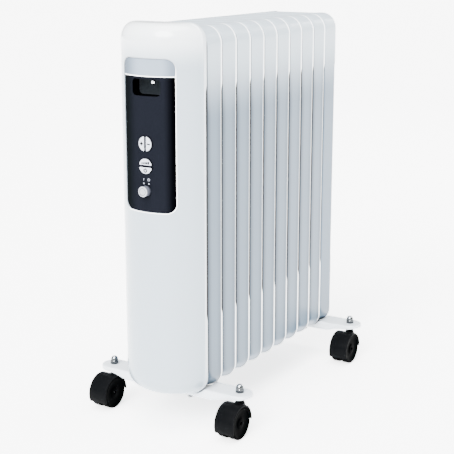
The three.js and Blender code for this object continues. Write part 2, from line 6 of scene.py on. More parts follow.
import bmesh
import bpy
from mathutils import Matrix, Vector


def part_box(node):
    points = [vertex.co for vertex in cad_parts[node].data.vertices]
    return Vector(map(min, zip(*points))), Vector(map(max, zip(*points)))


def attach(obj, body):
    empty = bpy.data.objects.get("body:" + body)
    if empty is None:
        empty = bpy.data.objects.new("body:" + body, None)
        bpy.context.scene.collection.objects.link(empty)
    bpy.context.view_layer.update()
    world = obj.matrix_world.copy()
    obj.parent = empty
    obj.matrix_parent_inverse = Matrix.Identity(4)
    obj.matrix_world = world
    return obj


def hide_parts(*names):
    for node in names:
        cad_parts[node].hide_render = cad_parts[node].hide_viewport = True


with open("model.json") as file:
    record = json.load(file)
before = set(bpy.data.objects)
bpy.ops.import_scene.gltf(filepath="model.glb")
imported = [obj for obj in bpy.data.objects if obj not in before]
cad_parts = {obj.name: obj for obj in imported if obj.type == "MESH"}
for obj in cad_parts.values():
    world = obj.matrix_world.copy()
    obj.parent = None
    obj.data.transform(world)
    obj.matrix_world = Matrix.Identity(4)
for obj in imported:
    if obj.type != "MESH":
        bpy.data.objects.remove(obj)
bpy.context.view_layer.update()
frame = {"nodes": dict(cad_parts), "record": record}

MM = 0.001
# Every shape below is given in millimetres, with Y counted from the first fin's front plane.
HEATER_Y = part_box("front_cover")[1].y * 1000 + 8

# ---- sizes, in millimetres ----
FIN_COUNT = 10
FIN_PITCH = 43
FIN_FRONT = 0.3
FIN_SHEET = 1.2
FIN_Z = (60, 637)
PLATE_X = 75
CORNER = 27
CORE_X = PLATE_X - CORNER
GALLERY_Z = (106, 591)
GALLERY_RADIUS = 24
HOUSING_Z = (62, 643)
HOUSING_FRONT = -55.3
HOUSING_BACK = -8
FRONT_ROUNDING = 0.75
PANEL_X = 46
PANEL_Z = (360, 592)
PANEL_CORNER = 14
PANEL_SINK = 0.9
WINDOW_Z = 565
POCKET_X = 25.5
POCKET_Z = (536.5, 562)
POCKET_CORNER = 6.5
POCKET_FLOOR = -31.5
SCREW_Z = 555.3
KEY_FACE = HOUSING_FRONT - 1.1
KEY_BACK = HOUSING_FRONT + 7.6
KEY_RADIUS = 11.5
KEY_SPLIT = 1.75
TEMPERATURE_Z = 465
MODE_Z = 431
LEGEND_Z = 410.3
SWITCH_Z = 393
SWITCH_FACE = -65
SWITCH_RADIUS = 8
FOOT_REACH = 144
FOOT_HALF = 21
FOOT_Y = {"front": 17, "rear": 417}
CASTER_X = FOOT_REACH - FOOT_HALF
AXLE_Y = -20.5
AXLE_Z = 26.5


# ---- materials ----
def set_input(node, name, value):
    node.inputs[name].default_value = value


def finish(
    name,
    colour,
    rough,
    grain=900.0,
    bump=0.02,
    vary=0.03,
    metal=0.0,
    coat=0.0,
    cloud=18.0,
    fades=(),
    specular=0.5,
    painted_reflection=False,
):
    """A moulded, painted or plated surface: clouded colour, uneven gloss and a fine grain.
    rough is the gloss, grain and cloud are noise scales, and bump and vary are strengths.
    Each fade = (other colour, axis 0..2, from mm, to mm) blends the colour along the object.
    The last flag dims the faces that don't look up: a painted reflection, bright above and dark at the sides."""
    material = bpy.data.materials.new(name)
    material.use_nodes = True
    nodes, links = material.node_tree.nodes, material.node_tree.links
    shader = nodes["Principled BSDF"]
    set_input(shader, "Metallic", metal)
    set_input(shader, "Coat Weight", coat)
    set_input(shader, "Coat Roughness", 0.06)
    set_input(shader, "Specular IOR Level", specular)
    place = nodes.new("ShaderNodeTexCoord")

    def noise(scale, detail):
        node = nodes.new("ShaderNodeTexNoise")
        set_input(node, "Scale", scale)
        set_input(node, "Detail", detail)
        links.new(place.outputs["Object"], node.inputs["Vector"])
        return node.outputs["Fac"]

    def split(output):
        node = nodes.new("ShaderNodeSeparateXYZ")
        links.new(place.outputs[output], node.inputs["Vector"])
        return node.outputs

    def faded(under, other, value, start, end):
        """The colour under, turning into other while value goes from start to end."""
        ramp = nodes.new("ShaderNodeMapRange")
        ramp.interpolation_type = "SMOOTHSTEP"
        set_input(ramp, "From Min", start)
        set_input(ramp, "From Max", end)
        links.new(value, ramp.inputs["Value"])
        blend = nodes.new("ShaderNodeMix")
        blend.data_type = "RGBA"
        set_input(blend, "B", (*other, 1))
        links.new(ramp.outputs["Result"], blend.inputs["Factor"])
        links.new(under, blend.inputs["A"])
        return blend.outputs["Result"]

    base = nodes.new("ShaderNodeMix")
    base.data_type = "RGBA"
    set_input(base, "A", (*[c * (1 - vary) for c in colour], 1))
    set_input(base, "B", (*[min(1.0, c * (1 + vary)) for c in colour], 1))
    links.new(noise(cloud, 3.0), base.inputs["Factor"])
    result = base.outputs["Result"]
    position = split("Object")
    for other, axis, start, end in fades:
        result = faded(result, other, position[axis], start * MM, end * MM)
    # Painted reflection: faces that don't look up are painted darker.
    if painted_reflection:
        result = faded(result, [c * 0.16 for c in colour], split("Normal")["Z"], 0.62, 0.12)
    links.new(result, shader.inputs["Base Color"])

    gloss = nodes.new("ShaderNodeMapRange")
    set_input(gloss, "To Min", rough * 0.82)
    set_input(gloss, "To Max", rough * 1.2)
    links.new(noise(cloud * 5, 4.0), gloss.inputs["Value"])
    links.new(gloss.outputs["Result"], shader.inputs["Roughness"])

    relief = nodes.new("ShaderNodeBump")
    set_input(relief, "Strength", bump)
    set_input(relief, "Distance", 0.0003)
    links.new(noise(grain, 2.0), relief.inputs["Height"])
    links.new(relief.outputs["Normal"], shader.inputs["Normal"])
    return material


# Axes that a colour can fade along.
ACROSS, BACKWARD, UP = 0, 1, 2
PAINT = (0.068, 0.106, 0.148)
# Painted light: the fins turn lighter towards the top.
PAINTED_TOP_LIGHT = ((0.36, 0.42, 0.47), UP, 495, 600)
# Painted highlight along each fin's rear rim.
PAINTED_RIM_HIGHLIGHT = (0.95, 0.97, 0.98)
# Painted shade in the gap where two fins meet.
PAINTED_JOINT_SHADE = (0.0005, 0.0006, 0.0008)


def fin_paint(name, fades):
    """Powder coat with a painted highlight on the rear rim and painted shade at the front, where two fins
    meet.
    """
    return finish(name, PAINT, 0.3, 1600, 0.03, 0.012, coat=0.04, specular=0.25, fades=fades)


LOOKS = {
    "housing": finish(
        "gloss_white_moulding",
        (0.27, 0.325, 0.37), 0.18, 900, 0.02, 0.01,
        coat=0.25,
        # Painted shade darkens the left flank towards its edge, and painted light brightens the top.
        fades=[((0.13, 0.165, 0.19), ACROSS, -60, -PLATE_X), ((0.70, 0.73, 0.75), UP, 575, 636)],
    ),
    "paint": fin_paint(
        "powder_coat",
        [
            # Painted shade over the front bend and in a band before the rear rim, then painted top light, rim
            # highlight and joint shade.
            ((0.026, 0.045, 0.067), BACKWARD, 13, 3),
            ((0.042, 0.070, 0.100), BACKWARD, 25, 34),
            PAINTED_TOP_LIGHT,
            (PAINTED_RIM_HIGHLIGHT, BACKWARD, 38.1, 38.8),
            (PAINTED_JOINT_SHADE, BACKWARD, 2.0, 1.4),
        ],
    ),
    "end_paint": fin_paint(
        "powder_coat_end",
        # Painted light at the top, a painted highlight on the rim and painted shade at the joint.
        [PAINTED_TOP_LIGHT, (PAINTED_RIM_HIGHLIGHT, BACKWARD, 39.1, 39.9), (PAINTED_JOINT_SHADE, BACKWARD, 1.15, 0.6)],
    ),
    "foot_paint": finish("powder_coat_arm", (0.55, 0.59, 0.63), 0.3, 1600, 0.03, 0.018, coat=0.15),
    "panel": finish(
        "smoked_panel",
        (0.0042, 0.0048, 0.0070), 0.3, 900, 0.01, 0.1,
        specular=0.0006,
        # Painted reflection: darker towards the left edge and near black at the right.
        fades=[((0.0012, 0.0018, 0.0022), ACROSS, -16, -42), ((0.0001, 0.0001, 0.0003), ACROSS, 28, 44)],
    ),
    "pocket": finish(
        "smoked_recess_painted_shading",
        # Painted shade: near black walls; the floor is painted lighter to stand in for the light that reaches
        # it.
        (0.00005, 0.00005, 0.00008), 0.3, 900, 0.01, 0.1,
        specular=0.0006,
        fades=[((0.010, 0.012, 0.014), BACKWARD, POCKET_FLOOR - 1.2, POCKET_FLOOR - 0.6)],
    ),
    "window": finish(
        "display_lens",
        (0.18, 0.22, 0.27), 0.14, 900, 0.01, 0.03,
        specular=0.05,
        # Painted reflection: darker towards the left end and a little darker at the right.
        fades=[((0.045, 0.065, 0.09), ACROSS, -8, -46), ((0.10, 0.125, 0.16), ACROSS, 26, 45)],
    ),
    "bead": finish(
        "bead_painted_highlight",
        (0.88, 0.89, 0.90), 0.3, 900, 0.02, 0.01,
        # Painted highlight, dimmed towards the top and the left side.
        fades=[((0.26, 0.29, 0.32), UP, 566, 588), ((0.16, 0.18, 0.20), ACROSS, -34, -45)],
    ),
    # Painted highlight colour for the strip along the window's lower edge.
    "trim": finish("trim_painted_highlight", (0.80, 0.82, 0.83), 0.3, 900, 0.02, 0.01),
    "key": finish(
        "satin_key",
        (0.40, 0.42, 0.47), 0.38, 1400, 0.04, 0.015,
        specular=0.1,
        # Painted shade: the key turns near black behind its face, over its skirt.
        fades=[((0.0008, 0.0008, 0.001), BACKWARD, KEY_FACE + 0.3, KEY_FACE + 0.6)],
    ),
    "switch": finish(
        "switch_cap",
        (0.30, 0.31, 0.35), 0.35, 1400, 0.04, 0.015,
        specular=0.08,
        # Painted shade: the button's side turns grey, then near black towards the panel.
        fades=[
            ((0.07, 0.075, 0.095), BACKWARD, SWITCH_FACE + 0.8, SWITCH_FACE + 2),
            ((0.012, 0.013, 0.018), BACKWARD, SWITCH_FACE + 6, SWITCH_FACE + 11),
        ],
    ),
    "mark": finish("printed_mark", (0.0003, 0.0003, 0.0006), 0.5, 1600, 0.05, 0.1, specular=0.002),
    "ring": finish("groove_shade", (0.04, 0.043, 0.055), 0.5, 1600, 0.05, 0.05, specular=0.02),
    "legend": finish("printed_legend", (0.3, 0.32, 0.38), 0.5, 1600, 0.05, 0.05, specular=0.1),
    "black": finish("black_moulding", (0.0005, 0.0005, 0.0007), 0.42, 1100, 0.12, 0.15, specular=0.015),
    "caster": finish("caster_moulding", (0.0018, 0.0020, 0.0023), 0.32, 1100, 0.10, 0.15, specular=0.012),
    "tread": finish("wheel_tread", (0.0001, 0.0002, 0.0003), 0.36, 800, 0.2, 0.2, specular=0.002),
    # Chrome with a painted reflection: its sides are painted dark.
    "chrome": finish("bright_plate", (0.30, 0.325, 0.345), 0.08, 500, 0.02, 0.03, metal=1.0, painted_reflection=True),
    "screw": finish("zinc_plate", (0.80, 0.81, 0.83), 0.12, 900, 0.05, 0.08, metal=1.0),
    "brass": finish("turned_brass", (0.40, 0.26, 0.10), 0.28, 700, 0.10, 0.08, metal=1.0),
    "board": finish("solder_mask", (0.012, 0.07, 0.025), 0.35, 300, 0.3, 0.25),
}
SLOT_LOOKS = {
    "housing_white": "housing",
    "fin_paint": "paint",
    "window_grey": "window",
    "panel_black": "panel",
    "key_white": "key",
    "black_plastic": "black",
    "caster_black": "caster",
    "wheel_black": "tread",
    "bright_steel": "chrome",
    "brass": "brass",
    "board_green": "board",
}
node_slots = {s["node"]: s["material_slot"] for s in frame["record"]["subparts"]}
for node, obj in frame["nodes"].items():
    obj.data.materials.clear()
    obj.data.materials.append(LOOKS[SLOT_LOOKS[node_slots[node]]])


# ---- mesh helpers ----
class Surface:
    """Vertices and faces collected in millimetres."""

    def __init__(self):
        self.points = []
        self.faces = []

    def add(self, rows, closed=False, capped=False):
        """Quads between rows that all have the same number of points.
        closed joins each row's ends, and capped fills the first and the last row."""
        base, n = len(self.points), len(rows[0])
        for row in rows:
            self.points.extend(row)
        for r in range(len(rows) - 1):
            for k in range(n if closed else n - 1):
                a, b = base + r * n + k, base + r * n + (k + 1) % n
                self.faces.append((a, b, b + n, a + n))
        if capped:
            self.faces.append(tuple(range(base + n - 1, base - 1, -1)))
            last = base + (len(rows) - 1) * n
            self.faces.append(tuple(range(last, last + n)))
        return self

    def turned(self, turn):
        self.points = [turn(*p) for p in self.points]
        return self


def solid(rows):
    """A closed surface through rings of points."""
    return Surface().add(rows, closed=True, capped=True)


def mesh_from(name, surface):
    shape = bmesh.new()
    made = [shape.verts.new([c * MM for c in p]) for p in surface.points]
    for face in surface.faces:
        try:
            shape.faces.new([made[i] for i in face])
        except ValueError:
            continue  # The same face is there already.
    bmesh.ops.remove_doubles(shape, verts=shape.verts, dist=0.01 * MM)
    bmesh.ops.dissolve_degenerate(shape, edges=shape.edges, dist=0.005 * MM)
    bmesh.ops.recalc_face_normals(shape, faces=shape.faces)
    middle = Vector()
    for v in shape.verts:
        middle += v.co / len(shape.verts)
    outward = sum(f.normal.dot(f.calc_center_median() - middle) * f.calc_area() for f in shape.faces)
    if outward < 0:
        bmesh.ops.reverse_faces(shape, faces=shape.faces)
    mesh = bpy.data.meshes.new(name)
    shape.to_mesh(mesh)
    shape.free()
    return mesh


def new_object(name, data):
    obj = bpy.data.objects.new(name, data)
    bpy.context.scene.collection.objects.link(obj)
    return obj


def face_front(mesh):
    """Turns an open shell's outer side out: its foremost face must look forward."""
    if min(mesh.polygons, key=lambda f: f.center.y).normal.y > 0:
        mesh.flip_normals()
    return mesh


def shade(mesh, sharp):
    mesh.shade_smooth()
    mesh.set_sharp_from_angle(angle=math.radians(sharp))


def bake(obj, sharp):
    """Applies the modifiers and marks the sharp edges."""
    graph = bpy.context.evaluated_depsgraph_get()
    mesh = bpy.data.meshes.new_from_object(obj.evaluated_get(graph))
    old = obj.data
    obj.modifiers.clear()
    obj.data = mesh
    mesh.name = old.name
    bpy.data.meshes.remove(old)
    shade(mesh, sharp)
    return obj


def build(name, surface, sharp=35):
    """A finished object from a surface."""
    return bake(new_object(name, mesh_from(name, surface)), sharp)


def sheet(obj, thickness, even=True):
    """Thickens a surface away from its outer side."""
    thicken = obj.modifiers.new("sheet", "SOLIDIFY")
    thicken.thickness = thickness * MM
    thicken.offset = -1
    thicken.use_even_offset = even
    return obj


def carve(obj, cutters):
    """Cuts closed meshes out of obj."""
    for surface in cutters:
        tool = new_object("cutter", mesh_from("cutter", surface))
        cut = obj.modifiers.new("cut", "BOOLEAN")
        cut.operation = "DIFFERENCE"
        cut.solver = "EXACT"
        cut.object = tool
        bpy.context.view_layer.update()
        graph = bpy.context.evaluated_depsgraph_get()
        mesh = bpy.data.meshes.new_from_object(obj.evaluated_get(graph))
        obj.modifiers.clear()
        obj.data = mesh
        bpy.data.objects.remove(tool)
    return obj


def soften(obj, width, segments=2):
    bevel = obj.modifiers.new("edges", "BEVEL")
    bevel.width = width * MM
    bevel.segments = segments
    bevel.limit_method = "ANGLE"
    bevel.angle_limit = math.radians(50)
    return obj


def merge(obj, surface):
    """Adds another closed surface to obj's mesh."""
    extra = mesh_from("extra", surface)
    shape = bmesh.new()
    shape.from_mesh(obj.data)
    shape.from_mesh(extra)
    shape.to_mesh(obj.data)
    shape.free()
    return obj


def place(obj, look, slot, body, nodes=(), at=(0, 0, 0)):
    """Puts a finished object in the frame and gives it its material and body; the slot is not used."""
    obj.data.materials.clear()
    obj.data.materials.append(LOOKS[look])
    obj.location = Vector((at[0], at[1] + HEATER_Y, at[2])) * MM
    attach(obj, body)
    if nodes:
        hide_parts(*nodes)
    return obj


def spread(a, b, count):
    return [a + (b - a) * k / count for k in range(count + 1)]


def smooth(t, a, b):
    t = min(1.0, max(0.0, (t - a) / (b - a)))
    return t * t * (3 - 2 * t)


def quarter(steps):
    """Sine and cosine pairs through a quarter turn."""
    return [(math.sin(math.pi / 2 * k / steps), math.cos(math.pi / 2 * k / steps)) for k in range(steps + 1)]


def arc_points(cx, cz, radius, first, last, steps):
    """Points on an arc from one angle to another, in degrees."""
    turns = [math.radians(first + (last - first) * k / steps) for k in range(steps + 1)]
    return [(cx + radius * math.cos(t), cz + radius * math.sin(t)) for t in turns]


def circle(cx, cz, radius, steps):
    return arc_points(cx, cz, radius, 0, 360, steps)[:-1]


def hexagon(corner_radius, limit, steps):
    """Points round a hexagon whose corners are turned down to a radius of limit."""
    points = []
    for k in range(steps):
        turn = math.tau * k / steps
        side = corner_radius * math.cos(math.pi / 6) / math.cos((turn % (math.pi / 3)) - math.pi / 6)
        radius = min(side, limit)
        points.append((radius * math.cos(turn), radius * math.sin(turn)))
    return points


def rounded_loop(x0, x1, z0, z1, radius, xs, zs, steps):
    """Samples round a rounded rectangle: core point and outward direction.
    xs and zs run from one end of the straight sides to the other."""
    cx0, cx1, cz0, cz1 = x0 + radius, x1 - radius, z0 + radius, z1 - radius

    def arc(cx, cz, first):
        turns = [math.radians(first + 90 * k / steps) for k in range(1, steps)]
        return [(cx, cz, math.cos(t), math.sin(t)) for t in turns]

    loop = [(x, cz0, 0, -1) for x in xs] + arc(cx1, cz0, -90)
    loop += [(cx1, z, 1, 0) for z in zs] + arc(cx1, cz1, 0)
    loop += [(x, cz1, 0, 1) for x in reversed(xs)] + arc(cx0, cz1, 90)
    loop += [(cx0, z, -1, 0) for z in reversed(zs)] + arc(cx0, cz0, 180)
    return loop


def inset_row(loop, radius, inset, depth):
    """One ring of the loop drawn in by inset. depth(x, z) gives Y."""
    row = []
    for cx, cz, dx, dz in loop:
        x, z = cx + dx * (radius - inset), cz + dz * (radius - inset)
        row.append((x, depth(x, z), z))
    return row


def core_grid(xs, zs, depth):
    return [[(x, depth(x, z), z) for x in xs] for z in zs]


def turned_profile(profile, steps, axis, centre=(0, 0, 0), cap=True):
    """A surface of revolution: profile is (radius, along) pairs, axis is 0, 1 or 2."""
    rows = []
    for radius, along in profile:
        row = []
        for k in range(steps):
            turn = math.tau * k / steps
            a, b = radius * math.cos(turn), radius * math.sin(turn)
            point = {0: (along, a, b), 1: (a, along, b), 2: (a, b, along)}[axis]
            row.append(tuple(point[i] + centre[i] for i in range(3)))
        rows.append(row)
    return Surface().add(rows, closed=True, capped=cap)


def prism(outline, y0, y1):
    """A closed prism along Y from an outline of (x, z) points."""
    rows = [[(x, y, z) for x, z in outline] for y in (y0, y1)]
    return solid(rows)


# ---- fins ----
# The stretch of the sides where neighbouring fins stand apart, and the half width of the top opening.
OPENING_Z = (190, 545)
OPENING_GAP = 2.6
CHIMNEY_X = 46
CHIMNEY_DEPTH = 14
CHANNELS_X = (-44, 0, 44)
CHANNEL_DEPTH = 4
# Heights over which a fin's front edge changes into its lower and its upper corner.
LOWER_CORNER = (66, 96)
UPPER_CORNER = (604, 634)
# The edge's size in the straight middle, and what the lower and the upper corner add.
BEND_INSET = (2.4, 9.1, 0.8)
BEND_DEPTH = (3.6, 35.4, 5.4)
BEND_CURL = (0.6, 1.5, 0.6)


def channel_relief(x, z):
    """How far the pressed oil channels stand back from the plate."""
    relief = 0.0
    low, high = GALLERY_Z
    for centre in CHANNELS_X:
        across = 1 - smooth(abs(x - centre), 3, 9)
        along = smooth(z, low + 8, low + 26) * (1 - smooth(z, high - 26, high - 8))
        relief = max(relief, across * along)
    return CHANNEL_DEPTH * relief


def fin_bend(z):
    """Shape of a fin's front edge at height z on its outline: how far it is drawn in, over what
    depth, how straight the slope is, and how far the rear rim is turned."""
    low, high = 1 - smooth(z, *LOWER_CORNER), smooth(z, *UPPER_CORNER)
    sizes = [size + below * low + above * high for size, below, above in (BEND_INSET, BEND_DEPTH, BEND_CURL)]
    inset, deep, curl = sizes
    return inset, deep, 0.8 * low, curl


def cover_bend(z):
    """The same for the rear cover, whose edge is even all round."""
    return 1.6, 1.6, 0.0, 1.2


def pan(z_range, depth, bend_at, tuck, channels=True, chimney=True):
    """A pressed pan that is open to the rear: plate, rounded bend, flange and turned lip."""
    z0, z1 = z_range
    ends = [CHIMNEY_X, CHIMNEY_X + 0.2, CHIMNEY_X + 1, CORE_X]
    xs = [-x for x in reversed(ends)] + spread(-45, 45, 30) + ends
    low, high = OPENING_Z
    stretches = [
        (z0 + CORNER, low - 14, 6),
        (low - 14, low + 14, 10),
        (low + 14, high - 14, 18),
        (high - 14, high + 14, 10),
        (high + 14, z1 - CORNER, 6),
    ]
    zs = sorted({z for stretch in stretches for z in spread(*stretch)} | {z0 + CORNER, z1 - CORNER})
    loop = rounded_loop(-PLATE_X, PLATE_X, z0, z1, CORNER, xs, zs, 12)
    relief = channel_relief if channels else (lambda x, z: 0.0)

    def profile(cx, cz, dx, dz):
        z = cz + dz * CORNER
        side = abs(dx) > 0.999
        opening = smooth(z, low - 8, low + 6) * (1 - smooth(z, high - 6, high + 8)) if side else 0
        inset, deep, straight, curl = bend_at(z)
        end = depth + tuck - (OPENING_GAP + tuck) * opening
        turn_in = 4 * straight
        if chimney and abs(dz) > 0.999:
            end -= CHIMNEY_DEPTH * (1 - smooth(abs(cx), CHIMNEY_X - 8, CHIMNEY_X))
        deep = min(deep, (end - curl) * 0.96)
        steps = [(CORNER * 0.999, 0), (CORNER * 0.7, 0), (inset + 3, 0), (inset + 0.8, 0)]
        for k, (s, c) in enumerate(quarter(9)):
            in_share = (1 - s) * (1 - straight) + (1 - k / 9) * straight
            deep_share = (1 - c) * (1 - straight) + k / 9 * straight
            steps.append((inset * in_share, deep * deep_share))
        flat = end - curl - deep
        steps += [(0, deep + flat * t) for t in (0.12, 0.5, 0.88)]
        steps += [(curl * (1 - c), end - curl * (1 - s)) for s, c in quarter(4)]
        steps.append((curl + turn_in + 0.01, end))
        return steps

    columns = [profile(*sample) for sample in loop]
    rows = []
    for k in range(len(columns[0])):
        row = []
        for (cx, cz, dx, dz), column in zip(loop, columns):
            inset, y = column[k]
            x, z = cx + dx * (CORNER - inset), cz + dz * (CORNER - inset)
            plate = relief(x, z) if y == 0 else 0
            row.append((x, y + plate, z))
        rows.append(row)
    first = [(cx, relief(cx, cz), cz) for cx, cz, dx, dz in loop]
    surface = Surface().add([first] + rows, closed=True)
    surface.add(core_grid(xs, zs, relief))
    return surface


def hub(z, y0, y1, closed_end):
    """A stretch of gallery with a fillet where it meets the plate at each end.
    A closed end is rounded over instead."""
    radius, fillet, rounding = GALLERY_RADIUS, 4, 3
    profile = [(radius + fillet * (1 - s), y0 + fillet * (1 - c)) for s, c in quarter(5)]
    if closed_end:
        profile += [(radius - rounding * (1 - c), y1 - rounding * (1 - s)) for s, c in quarter(5)]
        profile.append((8, y1))
    else:
        profile += [(radius + fillet * (1 - c), y1 - fillet * (1 - s)) for s, c in quarter(5)]
    return turned_profile(profile, 40, 1, (0, 0, z))


def fin_mesh(name, last):
    depth = FIN_PITCH - 0.6
    surface = pan(FIN_Z, depth, fin_bend, 0 if last else 0.4)
    obj = sheet(new_object(name, face_front(mesh_from(name, surface))), FIN_SHEET)
    bake(obj, 45)
    for z in GALLERY_Z:
        stub = depth - 4 if z == GALLERY_Z[0] else 8
        merge(obj, hub(z, 0.8, stub if last else depth + 0.9, last))
    shade(obj.data, 45)
    return obj


middle_fin = fin_mesh("fin_steel", False)
end_fin = fin_mesh("fin_end_steel", True)
for i in range(FIN_COUNT):
    node = f"fin_{i + 1:02d}"
    source = end_fin if i == FIN_COUNT - 1 else middle_fin
    look = "end_paint" if i in (0, FIN_COUNT - 1) else "paint"
    obj = new_object(f"{node}_sheet", source.data)
    place(obj, look, "fin_paint", "heater", [node], (0, i * FIN_PITCH + FIN_FRONT, 0))
bpy.data.objects.remove(middle_fin)
bpy.data.objects.remove(end_fin)


def filler_plug():
    """Hexagon headed brass plug with a sealing washer."""
    z = GALLERY_Z[1]
    y = (FIN_COUNT - 1) * FIN_PITCH + FIN_FRONT + 8
    profile = [(5.8, y - 5), (5.8, y), (10.4, y + 0.1), (10.4, y + 1.4)]
    plug = turned_profile(profile, 40, 1, (0, 0, z))
    head = ((9.0, y + 1.4), (20, y + 1.9), (20, y + 5.3), (8.6, y + 6.3))
    rows = [[(x, along, z + h) for x, h in hexagon(9.8, limit, 48)] for limit, along in head]
    return plug.add(rows, closed=True, capped=True)


place(build("filler_plug_turned", filler_plug(), 25), "brass", "brass", "heater", ["filler_plug"])

# ---- housing ----
BOW = 2 * math.atan((HOUSING_BACK - HOUSING_FRONT) / PLATE_X)
EDGE = 1.0
BLOCK_MARGIN = 11
LIP = 1.3
COVER_SIDE_COLUMNS = 12
COVER_BLOCK_COLUMNS = 32


def bow_share(angle):
    """How far forward the housing's bowed face is at an angle: 0 at its sides and 1 in the middle."""
    return (math.cos(angle) - math.cos(BOW)) / (1 - math.cos(BOW))


def skin_y(x, z):
    """Y of the housing's outer skin in its straight middle stretch."""
    angle = math.asin(max(-1.0, min(1.0, x * math.sin(BOW) / PLATE_X)))
    return HOUSING_BACK - (HOUSING_BACK - HOUSING_FRONT) * bow_share(angle)


def opening_rings(edge):
    """Rings from the block's edge in to the panel's outline and over its rolled lip."""
    core_x = PANEL_X - PANEL_CORNER
    core_low, core_high = PANEL_Z[0] + PANEL_CORNER, PANEL_Z[1] - PANEL_CORNER
    rings = [[] for _ in range(11)]
    for x, y, z in edge:
        cx, cz = max(-core_x, min(core_x, x)), max(core_low, min(core_high, z))
        reach = math.hypot(x - cx, z - cz)
        nx, nz = (x - cx) / reach, (z - cz) / reach
        qx, qz = cx + nx * PANEL_CORNER, cz + nz * PANEL_CORNER
        rings[0].append((x, y, z))
        for index, share in enumerate((0.35, 0.7, 1.0)):
            px = x + (qx + nx * LIP - x) * share
            pz = z + (qz + nz * LIP - z) * share
            rings[index + 1].append((px, skin_y(px, pz), pz))
        for index, (s, c) in enumerate(quarter(5)[1:]):
            px, pz = qx + nx * LIP * (1 - s), qz + nz * LIP * (1 - s)
            rings[index + 4].append((px, skin_y(px, pz) + LIP * (1 - c), pz))
        for index, deep in enumerate((2.2, 3.4)):
            rings[index + 9].append((qx, skin_y(qx, qz) + deep, qz))
    return rings


def turn_in_edge(mesh, rear):
    """Turns the front cover's rear edge in with a small radius."""
    shape = bmesh.new()
    shape.from_mesh(mesh)
    shape.normal_update()
    limit = (rear - 0.01) * MM
    loop = [e for e in shape.edges if e.is_boundary and all(v.co.y > limit for v in e.verts)]
    ring = list(dict.fromkeys(v for e in loop for v in e.verts))
    middle = Vector((0, 0, sum(HOUSING_Z) / 2 * MM))
    back = Vector((0, 1, 0))
    places = {}
    for v in ring:
        outward = v.co - middle
        side = 1 if v.normal.dot(Vector((outward.x, 0, outward.z))) > 0 else -1
        flat = Vector((v.normal.x, 0, v.normal.z)).normalized() * side
        centre = v.co - flat * EDGE * MM
        steps = [centre + flat.slerp(back, k / 6) * EDGE * MM for k in range(1, 7)]
        places[v] = steps + [steps[-1] - flat * 1.2 * MM]
    current = {v: v for v in ring}
    for k in range(7):
        fresh = {v: shape.verts.new(places[v][k]) for v in ring}
        for e in loop:
            a, b = e.verts
            shape.faces.new((current[a], current[b], fresh[b], fresh[a]))
        current = fresh
    bmesh.ops.recalc_face_normals(shape, faces=shape.faces)
    shape.to_mesh(mesh)
    shape.free()


def front_cover():
    """The bowed D-shaped moulding: rows from its floor up to its top, with a block left out for the panel."""
    z0, z1 = HOUSING_Z
    rear = HOUSING_BACK - 1.4 * EDGE
    block_z = (PANEL_Z[0] - BLOCK_MARGIN, PANEL_Z[1] + BLOCK_MARGIN)
    block_angle = math.asin((PANEL_X + BLOCK_MARGIN) * math.sin(BOW) / PLATE_X)
    angles = spread(-BOW, -block_angle, COVER_SIDE_COLUMNS)[:-1]
    angles += spread(-block_angle, block_angle, COVER_BLOCK_COLUMNS)
    angles += spread(block_angle, BOW, COVER_SIDE_COLUMNS)[1:]
    left = COVER_SIDE_COLUMNS
    right = left + COVER_BLOCK_COLUMNS

    def level(z, draw, scale=1.0):
        half = PLATE_X - draw
        depth = HOUSING_BACK - HOUSING_FRONT - FRONT_ROUNDING * draw
        row = []
        for angle in angles:
            y = min(HOUSING_BACK - depth * bow_share(angle), rear)
            row.append((half * math.sin(angle) / math.sin(BOW) * scale, rear + (y - rear) * scale, z))
        return row

    corner = [(CORNER * (1 - c), CORNER * (1 - s)) for s, c in quarter(14)]
    shrink = (0, 0.3, 0.6, 0.85)
    rows = [level(z0, CORNER, scale) for scale in shrink]
    rows += [level(z0 + rise, draw) for rise, draw in corner]
    rows += [level(z, 0) for z in spread(z0 + CORNER, block_z[0], 10)[1:-1]]
    low = len(rows)
    rows += [level(z, 0) for z in spread(*block_z, 64)]
    high = len(rows) - 1
    rows += [level(z1 - rise, draw) for rise, draw in reversed(corner)]
    rows += [level(z1, CORNER, scale) for scale in reversed(shrink)]

    surface = Surface()
    columns = len(angles)
    for row in rows:
        surface.points.extend(row)
    for r in range(len(rows) - 1):
        for k in range(columns - 1):
            if low <= r < high and left <= k < right:
                continue
            a = r * columns + k
            surface.faces.append((a, a + 1, a + 1 + columns, a + columns))

    edge = [rows[low][k] for k in range(left, right)]
    edge += [rows[r][right] for r in range(low, high)]
    edge += [rows[high][k] for k in range(right, left, -1)]
    edge += [rows[r][left] for r in range(high, low, -1)]
    surface.add(opening_rings(edge), closed=True)

    mesh = mesh_from("front_cover", surface)
    turn_in_edge(mesh, rear)
    obj = sheet(new_object("front_cover_moulding", face_front(mesh)), 0.9, even=False)
    return bake(obj, 40)


place(front_cover(), "housing", "housing_white", "heater", ["front_cover"])


def panel_bead():
    """Rolled edge round the panel's opening, painted bright as a highlight."""
    xs = spread(-PANEL_X + PANEL_CORNER, PANEL_X - PANEL_CORNER, 24)
    zs = spread(PANEL_Z[0] + PANEL_CORNER, PANEL_Z[1] - PANEL_CORNER, 50)
    loop = rounded_loop(-PANEL_X, PANEL_X, *PANEL_Z, PANEL_CORNER, xs, zs, 12)
    rows = []
    for k in range(13):
        turn = 2 * math.pi * k / 12
        inset, sink = 0.75 * math.cos(turn) - 0.75, 0.3 + 0.6 * math.sin(turn)
        rows.append(inset_row(loop, PANEL_CORNER, inset, lambda x, z: skin_y(x, z) + sink))
    return Surface().add(rows, closed=True)


place(build("panel_bead", panel_bead(), 60), "bead", "housing_white", "heater")


